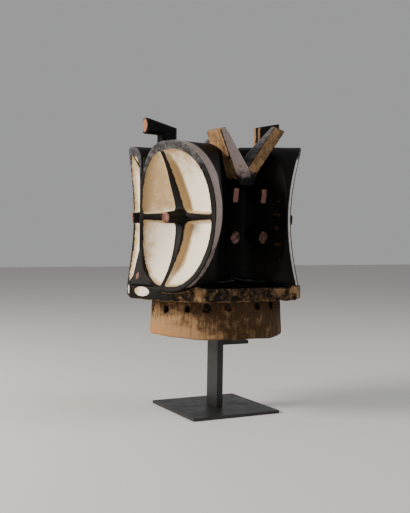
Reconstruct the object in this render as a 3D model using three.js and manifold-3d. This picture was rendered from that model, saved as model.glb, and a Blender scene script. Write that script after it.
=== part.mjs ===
// A two-faced helmet mask carved from one block of wood, held up by a black steel display stand.
// Millimetres, +Z up, floor at Z = 0. One face looks along -Y and the other along +Y.
import * as THREE from "three";
import { mergeVertices } from "three/addons/utils/BufferGeometryUtils.js";
import Module from "manifold-3d";

// Collar that goes over the wearer's head.
const COLLAR = { low: 152, top: 236, lowRadius: 133, topRadius: 128, edge: 6 };
// Thong holes at these angles (degrees from +X) on the sides that show, and evenly spaced on the rest.
const HOLES = { radius: 7.4, height: 208, riseX: 0.06, riseY: 0.03, reach: 40, hidden: 10 };
const SEEN_HOLES = [-102.5, -76.5, -53, -36, -18, 9, 27.5];

// Flat ledge between the collar and the two faces.
const LEDGE = {
  low: 225,
  top: 252,
  tipFront: 188,
  tipBack: 168,
  side: 141,
  cornerFront: 106,
  cornerBack: 100,
};

// The faces: two dished oval plates on each side of a ridge. Left is -X and right is +X.
const FACES = [
  { name: "front", sign: -1, ridge: 168, tip: LEDGE.tipFront, peg: 40 },
  { name: "back", sign: 1, ridge: 148, tip: LEDGE.tipBack, peg: 46 },
];
// Walls are measured behind the rim, and the front one is thinner below the middle by thin.
const RIMS = {
  front: { wall: 15, thin: 6, right: { x: 185, y: 99, flare: 21 }, left: { x: 185, y: 103, flare: 17 } },
  back: { wall: 8, thin: 0, right: { x: 185, y: 54, flare: 28 }, left: { x: 185, y: 57, flare: 26 } },
};
const PLATE = {
  middle: 381,
  half: 139,
  bowl: 30,
  band: 12,
  roundness: 2.15,
  ridgeRoundness: 3.4,
  reach: 120,
};
const CROSS = { shift: -19, rimHalf: 5, middleHalf: 10, groove: 14 };
const PEG = { radius: 10, root: 14.5, droop: 0.06, sunk: 12 };
const NOSE = { top: 318, half: 46 };
// The solid web between the two faces, and the flat brow between the tops of two ovals.
const WEB = { half: 30, front: -120, back: 90, low: 240, top: 496 };
const FOOT = { half: 33, front: -141, back: 118, top: 255 };
const BROW = { half: 40, slope: 0.34, low: 420, top: 506, deep: 60 };

// The recess on each side, between the plates: its wall is this far from the axis in the middle.
const RECESS = { middle: 90, curve: 2.2, floor: LEDGE.top + 5, thinBy: 65 };

// The column between the plates and the hollow inside.
const CORE = { x: 96, y: 104, low: 240, shoulder: 478, top: 512 };
const HOLLOW = { low: 150, mouth: 118, neckLow: 236, neck: 76, neckHigh: 264, shoulder: 440, top: 484 };

// Horns and pegs.
const HORN = {
  outer: 140,
  inner: 82,
  y: -12,
  notch: 477,
  root: 446,
  front: [-55, 545],
  back: [65, 552],
  thick: 20,
  taperLow: [94, 498],
  taperHigh: [126, 556],
  gap: 4,
};
const SIDE_PEG = {
  outer: 142,
  inner: 62,
  front: -38,
  back: 22,
  droop: 0.16,
  highZ: 426,
  width: 12,
  height: 27,
};
const LOW_PEG = { z: 349, radius: 10.2, swell: 2, tall: 1.22 };
const CREST = {
  front: { sign: -1, near: 95, far: 131, tip: 161, topNear: 554, topTip: 571, under: 539 },
  back: { sign: 1, near: 85, far: 112, tip: 138, topNear: 568, topTip: 579, under: 553 },
  half: 12.5,
  low: 470,
};

// Stand.
const BASE = { side: 188, thick: 6 };
const POST = { x: 43, y: 13, top: 458 };
const ARM = { reach: 71, width: 20, low: 128, thick: 7 };
const HEAD = { length: 118, width: 22, thick: 8 };
const GAP = 0.3;

const wasm = await Module();
wasm.setup();

function toSolid(geometry) {
  const bare = geometry.clone();
  bare.deleteAttribute("normal");
  bare.deleteAttribute("uv");
  const merged = mergeVertices(bare, 1e-3);
  return new wasm.Manifold(
    new wasm.Mesh({
      numProp: 3,
      vertProperties: new Float32Array(merged.attributes.position.array),
      triVerts: new Uint32Array(merged.index.array),
    }),
  );
}

function toGeometry(solid) {
  const mesh = solid.getMesh();
  const geometry = new THREE.BufferGeometry();
  geometry.setAttribute("position", new THREE.BufferAttribute(mesh.vertProperties, 3));
  geometry.setIndex(new THREE.BufferAttribute(mesh.triVerts, 1));
  return geometry;
}

function joinAll(solids) {
  return solids.reduce((whole, next) => whole.add(next));
}

function boxSolid(low, high) {
  const size = high.map((value, i) => value - low[i]);
  const geometry = new THREE.BoxGeometry(...size);
  geometry.translate(...low.map((value, i) => value + size[i] / 2));
  return toSolid(geometry);
}

// A turned form about Z from [radius, height] pairs that start and end on the axis.
function turned(profile, sides, scaleX = 1, scaleY = 1) {
  const geometry = new THREE.LatheGeometry(
    profile.map(([radius, height]) => new THREE.Vector2(radius, height)),
    sides,
  );
  geometry.rotateX(Math.PI / 2);
  geometry.scale(scaleX, scaleY, 1);
  return toSolid(geometry);
}

function prism(points, low, high) {
  const shape = new THREE.Shape(points.map(([x, y]) => new THREE.Vector2(x, y)));
  const geometry = new THREE.ExtrudeGeometry(shape, { depth: high - low, bevelEnabled: false });
  geometry.translate(0, 0, low);
  return toSolid(geometry);
}

// A solid from points and triangles, turned right side out.
function closedSolid(points, index) {
  const geometry = new THREE.BufferGeometry();
  geometry.setAttribute("position", new THREE.Float32BufferAttribute(points.flat(), 3));
  geometry.setIndex(index);
  const solid = toSolid(geometry);
  if (solid.volume() > 0) return solid;
  geometry.setIndex([...index].reverse());
  return toSolid(geometry);
}

// A closed body between two grids of points, each grid[row][column], joined along their borders.
function shell(outer, inner) {
  const rows = outer.length;
  const columns = outer[0].length;
  const points = [...outer.flat(), ...inner.flat()];
  const at = (layer, row, column) => layer * rows * columns + row * columns + column;
  const index = [];
  const quad = (a, b, c, d) => index.push(a, b, c, a, c, d);
  for (let r = 0; r < rows - 1; r++) {
    for (let c = 0; c < columns - 1; c++) {
      quad(at(0, r, c), at(0, r, c + 1), at(0, r + 1, c + 1), at(0, r + 1, c));
      quad(at(1, r, c), at(1, r + 1, c), at(1, r + 1, c + 1), at(1, r, c + 1));
    }
  }
  for (let c = 0; c < columns - 1; c++) {
    quad(at(0, 0, c), at(1, 0, c), at(1, 0, c + 1), at(0, 0, c + 1));
    quad(at(0, rows - 1, c), at(0, rows - 1, c + 1), at(1, rows - 1, c + 1), at(1, rows - 1, c));
  }
  for (let r = 0; r < rows - 1; r++) {
    quad(at(0, r, 0), at(0, r + 1, 0), at(1, r + 1, 0), at(1, r, 0));
    const last = columns - 1;
    quad(at(0, r, last), at(1, r, last), at(1, r + 1, last), at(0, r + 1, last));
  }
  return closedSolid(points, index);
}

// The frame of one plate: along runs from ridge to rim, out points away from the mask.
function plateFrame(face, side) {
  const rimAt = RIMS[face.name][side > 0 ? "right" : "left"];
  const ridge = new THREE.Vector2(0, face.sign * face.ridge);
  const rim = new THREE.Vector2(side * rimAt.x, face.sign * rimAt.y);
  const along = rim.clone().sub(ridge);
  const width = along.length();
  along.normalize();
  const out = new THREE.Vector2(-along.y, along.x);
  if (out.y * face.sign < 0) out.negate();
  const middle = ridge.clone().add(rim).multiplyScalar(0.5);
  return { along, out, middle, half: width / 2, flare: rimAt.flare };
}

function plateRadius(frame, angle, inset) {
  const c = Math.cos(angle);
  const s = Math.sin(angle);
  const n = c > 0 ? PLATE.roundness : PLATE.ridgeRoundness;
  const a = frame.half - inset;
  const b = PLATE.half - inset;
  return (Math.abs(c / a) ** n + Math.abs(s / b) ** n) ** (-1 / n);
}

// How far the plate leans outwards at a height, nothing at the ridge and all of it past the middle.
function flareAt(frame, t, z) {
  const share = THREE.MathUtils.smoothstep(t, -frame.half, 0);
  return frame.flare * share * (z / PLATE.half) ** 2;
}

// A point of the plate from its own t (along), z (up from the middle) and depth below the rim.
function platePoint(frame, t, z, depth) {
  const n = flareAt(frame, t, z) - depth;
  return [
    frame.middle.x + frame.along.x * t + frame.out.x * n,
    frame.middle.y + frame.along.y * t + frame.out.y * n,
    PLATE.middle + z,
  ];
}

function bowlDepth(frame, t, z) {
  const radius = Math.hypot(t, z);
  if (radius < 1e-6) return PLATE.bowl;
  const share = Math.min(1, radius / plateRadius(frame, Math.atan2(z, t), PLATE.band));
  return PLATE.bowl * (1 - share ** 2);
}

// One plate as an oval block: a shallow bowl in front and a flat back inside the column.
function plateBody(frame) {
  const spokes = 36;
  const rings = [0.3, 0.6, 0.93, 1];
  const points = [];
  const index = [];
  const addRing = (share, depthOf) => {
    const start = points.length;
    for (let i = 0; i < spokes; i++) {
      const angle = (i / spokes) * Math.PI * 2;
      const radius = plateRadius(frame, angle, 0) * share;
      const t = radius * Math.cos(angle);
      const z = radius * Math.sin(angle);
      points.push(platePoint(frame, t, z, depthOf(t, z)));
    }
    return start;
  };
  const bridge = (a, b) => {
    for (let i = 0; i < spokes; i++) {
      const j = (i + 1) % spokes;
      index.push(a + i, b + i, b + j, a + i, b + j, a + j);
    }
  };
  points.push(platePoint(frame, 0, 0, PLATE.bowl));
  let last = 0;
  rings.forEach((share, k) => {
    const next = addRing(share, (t, z) => bowlDepth(frame, t, z));
    if (k > 0) bridge(last, next);
    last = next;
  });
  const behind = addRing(1, () => PLATE.reach);
  bridge(last, behind);
  points.push(platePoint(frame, 0, 0, PLATE.reach));
  for (let i = 0; i < spokes; i++) {
    const j = (i + 1) % spokes;
    index.push(0, 1 + i, 1 + j);
    index.push(points.length - 1, behind + j, behind + i);
  }
  return closedSolid(points, index);
}

// One scooped quarter between two arms of the cross, as a cutter that stands proud of the bowl.
function quarterCutter(frame, right, up) {
  const rows = 5;
  const columns = 8;
  const inner = [];
  const outer = [];
  for (let i = 0; i <= rows; i++) {
    const share = i / rows;
    const innerRow = [];
    const outerRow = [];
    for (let j = 0; j <= columns; j++) {
      const angle = (j / columns) * (Math.PI / 2);
      const facing = Math.atan2(up * Math.sin(angle), right * Math.cos(angle));
      const reach = plateRadius(frame, facing, PLATE.band);
      const bar = CROSS.middleHalf + (CROSS.rimHalf - CROSS.middleHalf) * share;
      const spare = 1 - bar / reach;
      const fullT = bar + share * reach * spare * Math.cos(angle);
      const fullZ = bar + share * reach * spare * Math.sin(angle);
      const t = right * fullT + CROSS.shift * (1 - share ** 2 * Math.cos(angle) ** 2);
      const z = up * fullZ;
      const depth = bowlDepth(frame, t, z);
      const fade = Math.sqrt(Math.max(0, 1 - share ** 4));
      innerRow.push(platePoint(frame, t, z, depth + CROSS.groove * fade));
      outerRow.push(platePoint(frame, t, z, depth - 30));
    }
    inner.push(innerRow);
    outer.push(outerRow);
  }
  return shell(outer, inner);
}

// A round peg from the middle of the cross, along the plate's outward direction.
function eyePeg(frame, length) {
  const geometry = new THREE.CylinderGeometry(PEG.radius, PEG.root, length + PEG.sunk, 16);
  geometry.rotateX(-PEG.droop);
  geometry.rotateZ(Math.atan2(-frame.out.x, frame.out.y));
  const place = platePoint(frame, CROSS.shift, 0, PLATE.bowl - (length - PEG.sunk) / 2);
  geometry.translate(...place);
  return toSolid(geometry);
}

function plates() {
  const bodies = [];
  const cutters = [];
  const pegs = [];
  FACES.forEach((face) => {
    [-1, 1].forEach((side) => {
      const frame = plateFrame(face, side);
      bodies.push(plateBody(frame));
      pegs.push(eyePeg(frame, face.peg));
      [-1, 1].forEach((right) => {
        [-1, 1].forEach((up) => cutters.push(quarterCutter(frame, right, up)));
      });
    });
  });
  return { bodies, cutters, pegs };
}

function ledge() {
  const { side, cornerFront, cornerBack, tipFront, tipBack } = LEDGE;
  const right = [
    [0, -tipFront],
    [60, 20 - tipFront],
    [104, 42 - tipFront],
    [side - 1, -cornerFront],
    [side, 0],
    [side - 1, cornerBack],
    [104, tipBack - 34],
    [60, tipBack - 12],
    [0, tipBack],
  ];
  const left = right.slice(1, -1).map(([x, y]) => [-x, y]);
  return prism([...right, ...left.reverse()], LEDGE.low, LEDGE.top);
}

function collar() {
  const { low, top, lowRadius, topRadius, edge } = COLLAR;
  return turned(
    [
      [0, low],
      [lowRadius - edge, low],
      [lowRadius, low + edge],
      [topRadius, top],
      [0, top],
    ],
    48,
  );
}

// The column that carries the plates, domed on top.
function column() {
  const { x, y, low, shoulder, top } = CORE;
  const profile = [
    [0, low],
    [1, low],
    [1, shoulder],
    [0.93, shoulder + 16],
    [0.72, top - 6],
    [0.4, top],
    [0, top],
  ];
  return turned(profile, 40, x, y);
}

// The space of one side recess, open to the side and above, narrow at mid-height like the plates.
function recess(side) {
  const steps = 14;
  const levels = 10;
  const rims = ["front", "back"].map((name) => {
    const rim = RIMS[name][side > 0 ? "right" : "left"];
    const { wall, thin } = RIMS[name];
    return { ...rim, wall, thin, sign: name === "front" ? -1 : 1 };
  });
  const inner = [];
  const outer = [];
  for (let k = 0; k <= levels; k++) {
    const height = RECESS.floor + (k / levels) * 300;
    const z = Math.min(PLATE.half, Math.abs(height - PLATE.middle));
    const below = THREE.MathUtils.smoothstep(PLATE.middle - height, 0, RECESS.thinBy);
    const innerRow = [];
    const outerRow = [];
    for (let i = 0; i <= steps; i++) {
      const w = (i / steps) * 2 - 1;
      const rim = rims[w < 0 ? 0 : 1];
      const wall = rim.wall - rim.thin * below;
      const edge = rim.y - wall + rim.flare * (z / PLATE.half) ** 2;
      const x = RECESS.middle + (rim.x - RECESS.middle) * Math.abs(w) ** RECESS.curve;
      const y = rim.sign * edge * Math.abs(w);
      innerRow.push([side * x, y, height]);
      outerRow.push([side * (rim.x + 60), y * 1.35, height]);
    }
    inner.push(innerRow);
    outer.push(outerRow);
  }
  return shell(outer, inner);
}

function hollow() {
  const { low, mouth, neckLow, neck, neckHigh, shoulder, top } = HOLLOW;
  return turned(
    [
      [0, low],
      [mouth, low],
      [mouth - 3, neckLow - 26],
      [neck + 26, neckLow],
      [neck, neckHigh],
      [neck, shoulder],
      [neck * 0.75, top - 12],
      [neck * 0.4, top],
      [0, top],
    ],
    36,
  );
}

// The thong holes under the ledge.
function collarHoles() {
  const first = SEEN_HOLES[0];
  const last = SEEN_HOLES[SEEN_HOLES.length - 1];
  const step = (360 + first - last) / (HOLES.hidden + 1);
  const angles = [...SEEN_HOLES];
  for (let i = 1; i <= HOLES.hidden; i++) angles.push(last + i * step);
  return angles.map((degrees) => {
    const angle = THREE.MathUtils.degToRad(degrees);
    const radius = COLLAR.topRadius;
    const rise = radius * (HOLES.riseX * Math.cos(angle) + HOLES.riseY * Math.sin(angle));
    const geometry = new THREE.CylinderGeometry(HOLES.radius, HOLES.radius, HOLES.reach, 10);
    geometry.rotateZ(Math.PI / 2);
    geometry.translate(radius, 0, 0);
    geometry.rotateZ(angle);
    geometry.translate(0, 0, HOLES.height + rise);
    return toSolid(geometry);
  });
}

// The web behind the two ridges.
function web() {
  const { half, front, back, low, top } = WEB;
  const [frontTip, backTip] = FACES.map((face) => face.sign * (face.ridge - 5));
  const outline = [
    [0, frontTip],
    [half, front],
    [half, back],
    [0, backTip],
    [-half, back],
    [-half, front],
  ];
  const foot = boxSolid([-FOOT.half, FOOT.front, low], [FOOT.half, FOOT.back, FOOT.top]);
  return prism(outline, low, top).add(foot);
}

// The flat brow at the head of a ridge, cut by the two ovals beside it.
function brow(face) {
  const { half, slope, low, top, deep } = BROW;
  const outline = [
    [0, face.ridge],
    [half, face.ridge - half * slope],
    [half, face.ridge - deep],
    [-half, face.ridge - deep],
    [-half, face.ridge - half * slope],
  ].map(([x, y]) => [x, face.sign * y]);
  if (face.sign > 0) outline.reverse();
  const block = prism(outline, low, top);
  return block.subtract(ovalBlock(plateFrame(face, 1))).subtract(ovalBlock(plateFrame(face, -1)));
}

// An oval a little inside a plate's outline, as a block that runs right through it.
function ovalBlock(frame) {
  const spokes = 36;
  const points = [];
  const index = [];
  [-40, PLATE.reach].forEach((depth) => {
    for (let i = 0; i < spokes; i++) {
      const angle = (i / spokes) * Math.PI * 2;
      const radius = plateRadius(frame, angle, 3);
      points.push(platePoint(frame, radius * Math.cos(angle), radius * Math.sin(angle), depth));
    }
  });
  for (let i = 1; i < spokes - 1; i++) {
    index.push(0, i, i + 1, spokes, spokes + i + 1, spokes + i);
  }
  for (let i = 0; i < spokes; i++) {
    const j = (i + 1) % spokes;
    index.push(i, spokes + i, spokes + j, i, spokes + j, j);
  }
  return closedSolid(points, index);
}

// The wedge below the ridge that runs out to the ledge's tip.
function noseWedge(face) {
  const foot = LEDGE.top - 4;
  const inward = face.sign * (face.ridge - 60);
  const cheek = face.sign * (face.ridge - 14);
  const points = [
    [0, face.sign * (face.ridge + 1), NOSE.top],
    [0, face.sign * (face.tip - 2), foot],
    [NOSE.half, cheek, foot],
    [-NOSE.half, cheek, foot],
    [0, inward, foot],
    [0, inward, NOSE.top],
  ];
  const index = [0, 1, 2, 0, 3, 1, 1, 3, 4, 1, 4, 2, 0, 2, 5, 2, 4, 5, 0, 5, 3, 3, 5, 4];
  return closedSolid(points, index);
}

// A flat outline in Y and Z as a slab between two X values.
function slab(outline, lowX, highX) {
  const shape = new THREE.Shape(outline.map(([y, z]) => new THREE.Vector2(y, z)));
  const geometry = new THREE.ExtrudeGeometry(shape, { depth: highX - lowX, bevelEnabled: false });
  geometry.rotateX(Math.PI / 2);
  geometry.rotateZ(Math.PI / 2);
  geometry.translate(lowX, 0, 0);
  return toSolid(geometry);
}

// A V of two arms standing over each side recess.
function horns(side) {
  const { outer, inner, y, notch, root, front, back, thick, taperLow, taperHigh, gap } = HORN;
  const outline = [
    [y, notch],
    [y + front[0] + thick * 0.35, front[1] + 2],
    [y + front[0] - thick * 0.3, front[1] - 4],
    [y - thick * 1.35, root + 14],
    [y - thick * 0.8, root - 6],
    [y + thick * 0.6, root - 6],
    [y + thick * 1.15, root + 20],
    [y + back[0] + thick * 0.8, back[1] - 6],
    [y + back[0] - thick * 0.45, back[1] + 2],
  ];
  const arms = side > 0 ? slab(outline, inner, outer) : slab(outline, -outer, -inner);
  // the inner side of the back arm is cut away, so that the arm thins towards its end
  const wedge = [[inner - 2, taperLow[1]], taperLow, taperHigh, [inner - 2, taperHigh[1]]];
  const shape = new THREE.Shape(wedge.map(([x, z]) => new THREE.Vector2(side * x, z)));
  const reach = back[0] + 2 * thick;
  const geometry = new THREE.ExtrudeGeometry(shape, { depth: reach, bevelEnabled: false });
  geometry.rotateX(Math.PI / 2);
  geometry.translate(0, y + gap + reach, 0);
  return arms.subtract(toSolid(geometry));
}

function sidePegs(side) {
  const { outer, inner, front, back, droop, highZ, width, height } = SIDE_PEG;
  const length = outer - inner;
  const pegs = [];
  [front, back].forEach((y) => {
    const flat = new THREE.BoxGeometry(length, width, height);
    const { radius, swell, tall } = LOW_PEG;
    const round = new THREE.CylinderGeometry(radius, radius + swell, length, 14);
    round.rotateZ(-Math.PI / 2);
    round.scale(1, 1, tall);
    [
      [flat, highZ],
      [round, LOW_PEG.z],
    ].forEach(([geometry, z]) => {
      geometry.rotateY(droop);
      geometry.translate(inner + length / 2, 0, z + 2);
      if (side < 0) geometry.rotateZ(Math.PI);
      geometry.translate(0, y, 0);
      pegs.push(toSolid(geometry));
    });
  });
  return pegs;
}

// A bent peg on the crown over each face: a stub that rises and a bar that points outwards.
function crestPeg({ sign, near, far, tip, topNear, topTip, under }) {
  const outline = [
    [near, CREST.low],
    [far, CREST.low],
    [far, under - 1],
    [tip, under],
    [tip, topTip],
    [near, topNear],
  ].map(([y, z]) => [sign * y, z]);
  if (sign < 0) outline.reverse();
  return slab(outline, -CREST.half, CREST.half);
}

function maskSolid() {
  const { bodies, cutters, pegs } = plates();
  let wood = joinAll([...bodies, column()]);
  wood = wood.subtract(recess(1)).subtract(recess(-1));
  wood = joinAll([wood, web(), ledge(), collar(), ...FACES.map(brow), ...FACES.map(noseWedge)]);
  cutters.forEach((cutter) => {
    wood = wood.subtract(cutter);
  });
  const sides = [-1, 1].flatMap((side) => [horns(side), ...sidePegs(side)]);
  wood = joinAll([wood, ...pegs, ...sides, crestPeg(CREST.front), crestPeg(CREST.back)]);
  wood = wood.subtract(hollow());
  collarHoles().forEach((cutter) => {
    wood = wood.subtract(cutter);
  });
  return wood;
}

function meshOf(name, solid, look) {
  const mesh = new THREE.Mesh(toGeometry(solid), new THREE.MeshStandardMaterial(look));
  mesh.name = name;
  return mesh;
}

const wood = { color: 0x2a2320, roughness: 0.6, metalness: 0 };
const steel = { color: 0x121214, roughness: 0.4, metalness: 0.6 };
const group = new THREE.Group();

const halfSide = BASE.side / 2;
group.add(meshOf("mask", maskSolid(), wood));
group.add(meshOf("stand_plate", boxSolid([-halfSide, -halfSide, 0], [halfSide, halfSide, BASE.thick]), steel));
group.add(
  meshOf(
    "stand_post",
    boxSolid([-POST.x / 2, -POST.y / 2, BASE.thick + GAP], [POST.x / 2, POST.y / 2, POST.top]),
    steel,
  ),
);
group.add(
  meshOf(
    "stand_arm",
    boxSolid([-ARM.width / 2, POST.y / 2 + GAP, ARM.low], [ARM.width / 2, ARM.reach, ARM.low + ARM.thick]),
    steel,
  ),
);
group.add(
  meshOf(
    "stand_head",
    boxSolid(
      [-HEAD.length / 2, -HEAD.width / 2, POST.top + GAP],
      [HEAD.length / 2, HEAD.width / 2, POST.top + GAP + HEAD.thick],
    ),
    steel,
  ),
);

export default group;
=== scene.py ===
# A two-faced helmet mask of carved and blackened wood with white eye plates, on a black steel stand.
import math
import bpy
import numpy as np
import openvdb
from mathutils import Matrix, Vector


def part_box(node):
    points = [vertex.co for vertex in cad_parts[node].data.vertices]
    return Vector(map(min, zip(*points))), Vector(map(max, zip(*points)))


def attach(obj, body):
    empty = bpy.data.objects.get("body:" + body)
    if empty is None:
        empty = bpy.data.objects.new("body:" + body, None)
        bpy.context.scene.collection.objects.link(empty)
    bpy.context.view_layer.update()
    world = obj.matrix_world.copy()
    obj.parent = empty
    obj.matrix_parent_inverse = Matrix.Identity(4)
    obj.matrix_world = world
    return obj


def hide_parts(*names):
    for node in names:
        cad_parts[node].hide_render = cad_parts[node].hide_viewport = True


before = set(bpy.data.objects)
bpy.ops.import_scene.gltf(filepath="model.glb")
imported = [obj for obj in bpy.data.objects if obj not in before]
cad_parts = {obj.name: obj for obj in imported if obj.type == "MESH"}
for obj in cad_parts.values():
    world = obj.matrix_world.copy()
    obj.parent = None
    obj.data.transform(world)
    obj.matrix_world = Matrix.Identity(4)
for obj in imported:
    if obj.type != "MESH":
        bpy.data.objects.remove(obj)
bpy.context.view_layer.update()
mm = 0.001
print("frame loaded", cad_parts)


# Camera, where the photograph was taken from.

cameraView = {
    "azimuth": 61.58,
    "distance": 1.7,
    "height": 0.3577,
    "down": 1.788,
    "roll": 0.854,
    "turn": -0.788,
    "lens": 59.65,
}


def makeCamera(view):
    a = math.radians(view["azimuth"])
    turn, down, roll = (math.radians(view[key]) for key in ("turn", "down", "roll"))
    towards = Vector((math.sin(a), -math.cos(a), 0))
    sideways = Vector((math.cos(a), math.sin(a), 0))
    level = sideways * math.sin(turn) - towards * math.cos(turn)
    right = sideways * math.cos(turn) + towards * math.sin(turn)
    forward = level * math.cos(down) - Vector((0, 0, 1)) * math.sin(down)
    above = level * math.sin(down) + Vector((0, 0, 1)) * math.cos(down)
    camRight = right * math.cos(roll) + above * math.sin(roll)
    camUp = above * math.cos(roll) - right * math.sin(roll)
    place = towards * view["distance"] + Vector((0, 0, view["height"]))
    data = bpy.data.cameras.new("photoCamera")
    data.sensor_width = 36
    data.lens = view["lens"]
    data.clip_start = 0.05
    camera = bpy.data.objects.new("photoCamera", data)
    bpy.context.scene.collection.objects.link(camera)
    axes = Matrix((camRight, camUp, -forward)).transposed().to_4x4()
    camera.matrix_world = Matrix.Translation(place) @ axes
    bpy.context.scene.camera = camera


makeCamera(cameraView)


# Helpers for signed distances, in millimetres, negative inside.

def smin(a, b, k):
    h = np.clip(0.5 + 0.5 * (b - a) / k, 0, 1)
    return b + (a - b) * h - k * h * (1 - h)


def smax(a, b, k):
    return -smin(-a, -b, k)


def smooth(low, high, value):
    s = np.clip((value - low) / (high - low), 0, 1)
    return s * s * (3 - 2 * s)


def mix(a, b, s):
    return a + (b - a) * s


def polygonDistance(points, u, v):
    best = None
    inside = np.zeros(np.broadcast(u, v).shape, bool)
    for (ax, ay), (bx, by) in zip(points, points[1:] + points[:1]):
        ex, ey = bx - ax, by - ay
        along = np.clip(((u - ax) * ex + (v - ay) * ey) / (ex * ex + ey * ey), 0, 1)
        away = (u - ax - along * ex) ** 2 + (v - ay - along * ey) ** 2
        best = away if best is None else np.minimum(best, away)
        if by != ay:
            crosses = ((ay > v) != (by > v)) & (u < (bx - ax) * (v - ay) / (by - ay) + ax)
            inside ^= crosses
    distance = np.sqrt(best)
    return np.where(inside, -distance, distance)


def boxDistance(u, v, w, half, edge):
    q = [np.abs(value) - (size - edge) for value, size in zip((u, v, w), half)]
    out = np.sqrt(sum(np.maximum(part, 0) ** 2 for part in q))
    return out + np.minimum(np.maximum(np.maximum(q[0], q[1]), q[2]), 0) - edge


handCut = {
    # length and height in millimetres of each slow hand-cut wave, and its seed
    "plateAcross": (34, 0.9, 0),
    "plateUp": (38, 0.8, 3),
    "plateEdge": (30, 0.8, 5),
    "ledgeEdge": (16, 1.0, 4),
    "ledgeUnder": (9, 1.3, 8),
}


def wave(a, b, kind, seed=0):
    size, tall, ownSeed = handCut[kind]
    seed += ownSeed
    total = 0
    for k in range(3):
        turn = seed * 2.4 + k * 2.1
        run = size / (1 + 0.6 * k)
        total = total + np.sin((a * math.cos(turn) + b * math.sin(turn)) / run + seed + 1.7 * k)
    return total / 2.2 * tall


def ripple(value, angle, waves):
    # adds waves that run round the mask's axis, each given as turns, phase and height
    for turns, phase, tall in waves:
        value = value + np.sin(angle * turns + phase) * tall
    return value


# The mask's sizes in millimetres, close to the solid's. The near rim stands a little further forward.

plateSizes = {
    "middle": 381,
    "half": 139,
    "bowl": 30,
    "bandRidge": 6,
    "bandRim": 13,
    "bandTop": 16,
    "bandLow": 11,
    "bandTurn": 40,
    "roundness": 2.15,
    "ridgeRoundness": 3.4,
    "toDistance": 0.93,
    "reach": 120,
    "shift": -19,
    "bendTop": 70,
    "groove": 15,
    "crest": 1.6,
    "room": 3,
    # half widths of the two bars, from their crossing to the end of their taper
    "upright": (10.5, 5.6),
    "uprightTaper": 105,
    "level": (9, 5),
    "levelTaper": 70,
    "levelPower": 0.7,
    "corner": 13,
    "soft": 7,
}
faces = {
    "front": {
        "sign": -1, "ridge": 168, "wall": 15, "thin": 6, "peg": 40, "bend": 10,
        "right": {"x": 185, "y": 102, "flare": 21}, "left": {"x": 185, "y": 103, "flare": 17},
    },
    "back": {
        "sign": 1, "ridge": 148, "wall": 7, "thin": 0, "peg": 46, "bend": 5,
        "right": {"x": 185, "y": 54, "flare": 28}, "left": {"x": 185, "y": 57, "flare": 26},
    },
}


def makePlates():
    plates = []
    for face in faces.values():
        for side, sideName in ((1, "right"), (-1, "left")):
            rim = face[sideName]
            ridge = np.array([0.0, face["sign"] * face["ridge"]])
            end = np.array([side * rim["x"], face["sign"] * rim["y"]], float)
            along = end - ridge
            width = np.hypot(*along)
            along /= width
            out = np.array([-along[1], along[0]])
            if out[1] * face["sign"] < 0:
                out = -out
            plates.append({
                "along": along, "out": out, "middle": (ridge + end) / 2, "half": width / 2,
                "flare": rim["flare"], "peg": face["peg"], "bend": face["bend"], "seed": len(plates) + 1,
            })
    return plates


plates = makePlates()


def gauge(plate, t, h, banded):
    # 1 on a plate's outline, or on the inner edge of its band, and less inside
    s = plateSizes
    a, b = plate["half"], s["half"]
    if banded:
        a = a - np.where(t > 0, s["bandRim"], s["bandRidge"])
        b = b - mix(s["bandLow"], s["bandTop"], smooth(-s["bandTurn"], s["bandTurn"], h))
    n = np.where(t > 0, s["roundness"], s["ridgeRoundness"])
    return (np.abs(t / a) ** n + np.abs(h / b) ** n + 1e-9) ** (1 / n)


def gaugeDistance(t, h, g):
    return np.sqrt(t * t + h * h) * (1 - 1 / g) * plateSizes["toDistance"]


def plateLocal(plate, x, y, z):
    # across the plate, up from its middle, and how far behind its rim
    dx, dy = x - plate["middle"][0], y - plate["middle"][1]
    t = dx * plate["along"][0] + dy * plate["along"][1]
    n = dx * plate["out"][0] + dy * plate["out"][1]
    h = z - plateSizes["middle"]
    lean = plate["flare"] * smooth(-plate["half"], 0, t) * (h / plateSizes["half"]) ** 2
    return t, h, lean - n


def cornerRound(a, b, k):
    # positive where both are positive, with the inner corner rounded
    inner = np.minimum(a, b)
    near = np.sqrt(np.maximum(k - a, 0) ** 2 + np.maximum(k - b, 0) ** 2)
    return np.where((a < k) & (b < k) & (a > -k) & (b > -k), k - near, inner)


def plateFront(plate, t, h):
    # how deep the carved front lies, and how far each point is inside the white quarters
    s = plateSizes
    t = t + wave(h, t, "plateAcross", plate["seed"])
    h = h + wave(t, h, "plateUp", plate["seed"])
    g = gauge(plate, t, h, True)
    u = t - s["shift"] + plate["bend"] * smooth(0, s["bendTop"], h)
    barV = mix(*s["upright"], np.clip(np.abs(h) / s["uprightTaper"], 0, 1))
    barH = mix(*s["level"], np.clip(np.abs(u) / s["levelTaper"], 0, 1) ** s["levelPower"])
    quarter = cornerRound(np.abs(u) - barV, np.abs(h) - barH, s["corner"])
    white = smin(quarter, -gaugeDistance(t, h, g), s["soft"])
    share = np.clip(g, 0, 1)
    bowl = s["bowl"] * (1 - share ** 2)
    rise = np.sqrt(np.clip(1 - share ** 4, 0, 1))
    depth = bowl + s["groove"] * rise * smooth(-0.5, 5.5, quarter)
    crest = s["crest"] * np.exp(-((np.minimum(np.abs(u) / barV, np.abs(h) / barH)) ** 2) * 1.5)
    return depth - crest * (quarter < 0) * rise, white


def whiteRoom(front, depth, white):
    # positive in the hollow air just in front of the white quarters
    return np.minimum(front + plateSizes["room"] - depth, white)


def ovalBlock(plate, t, h, inset):
    return gaugeDistance(t, h, gauge(plate, t, h, False)) + inset


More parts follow.
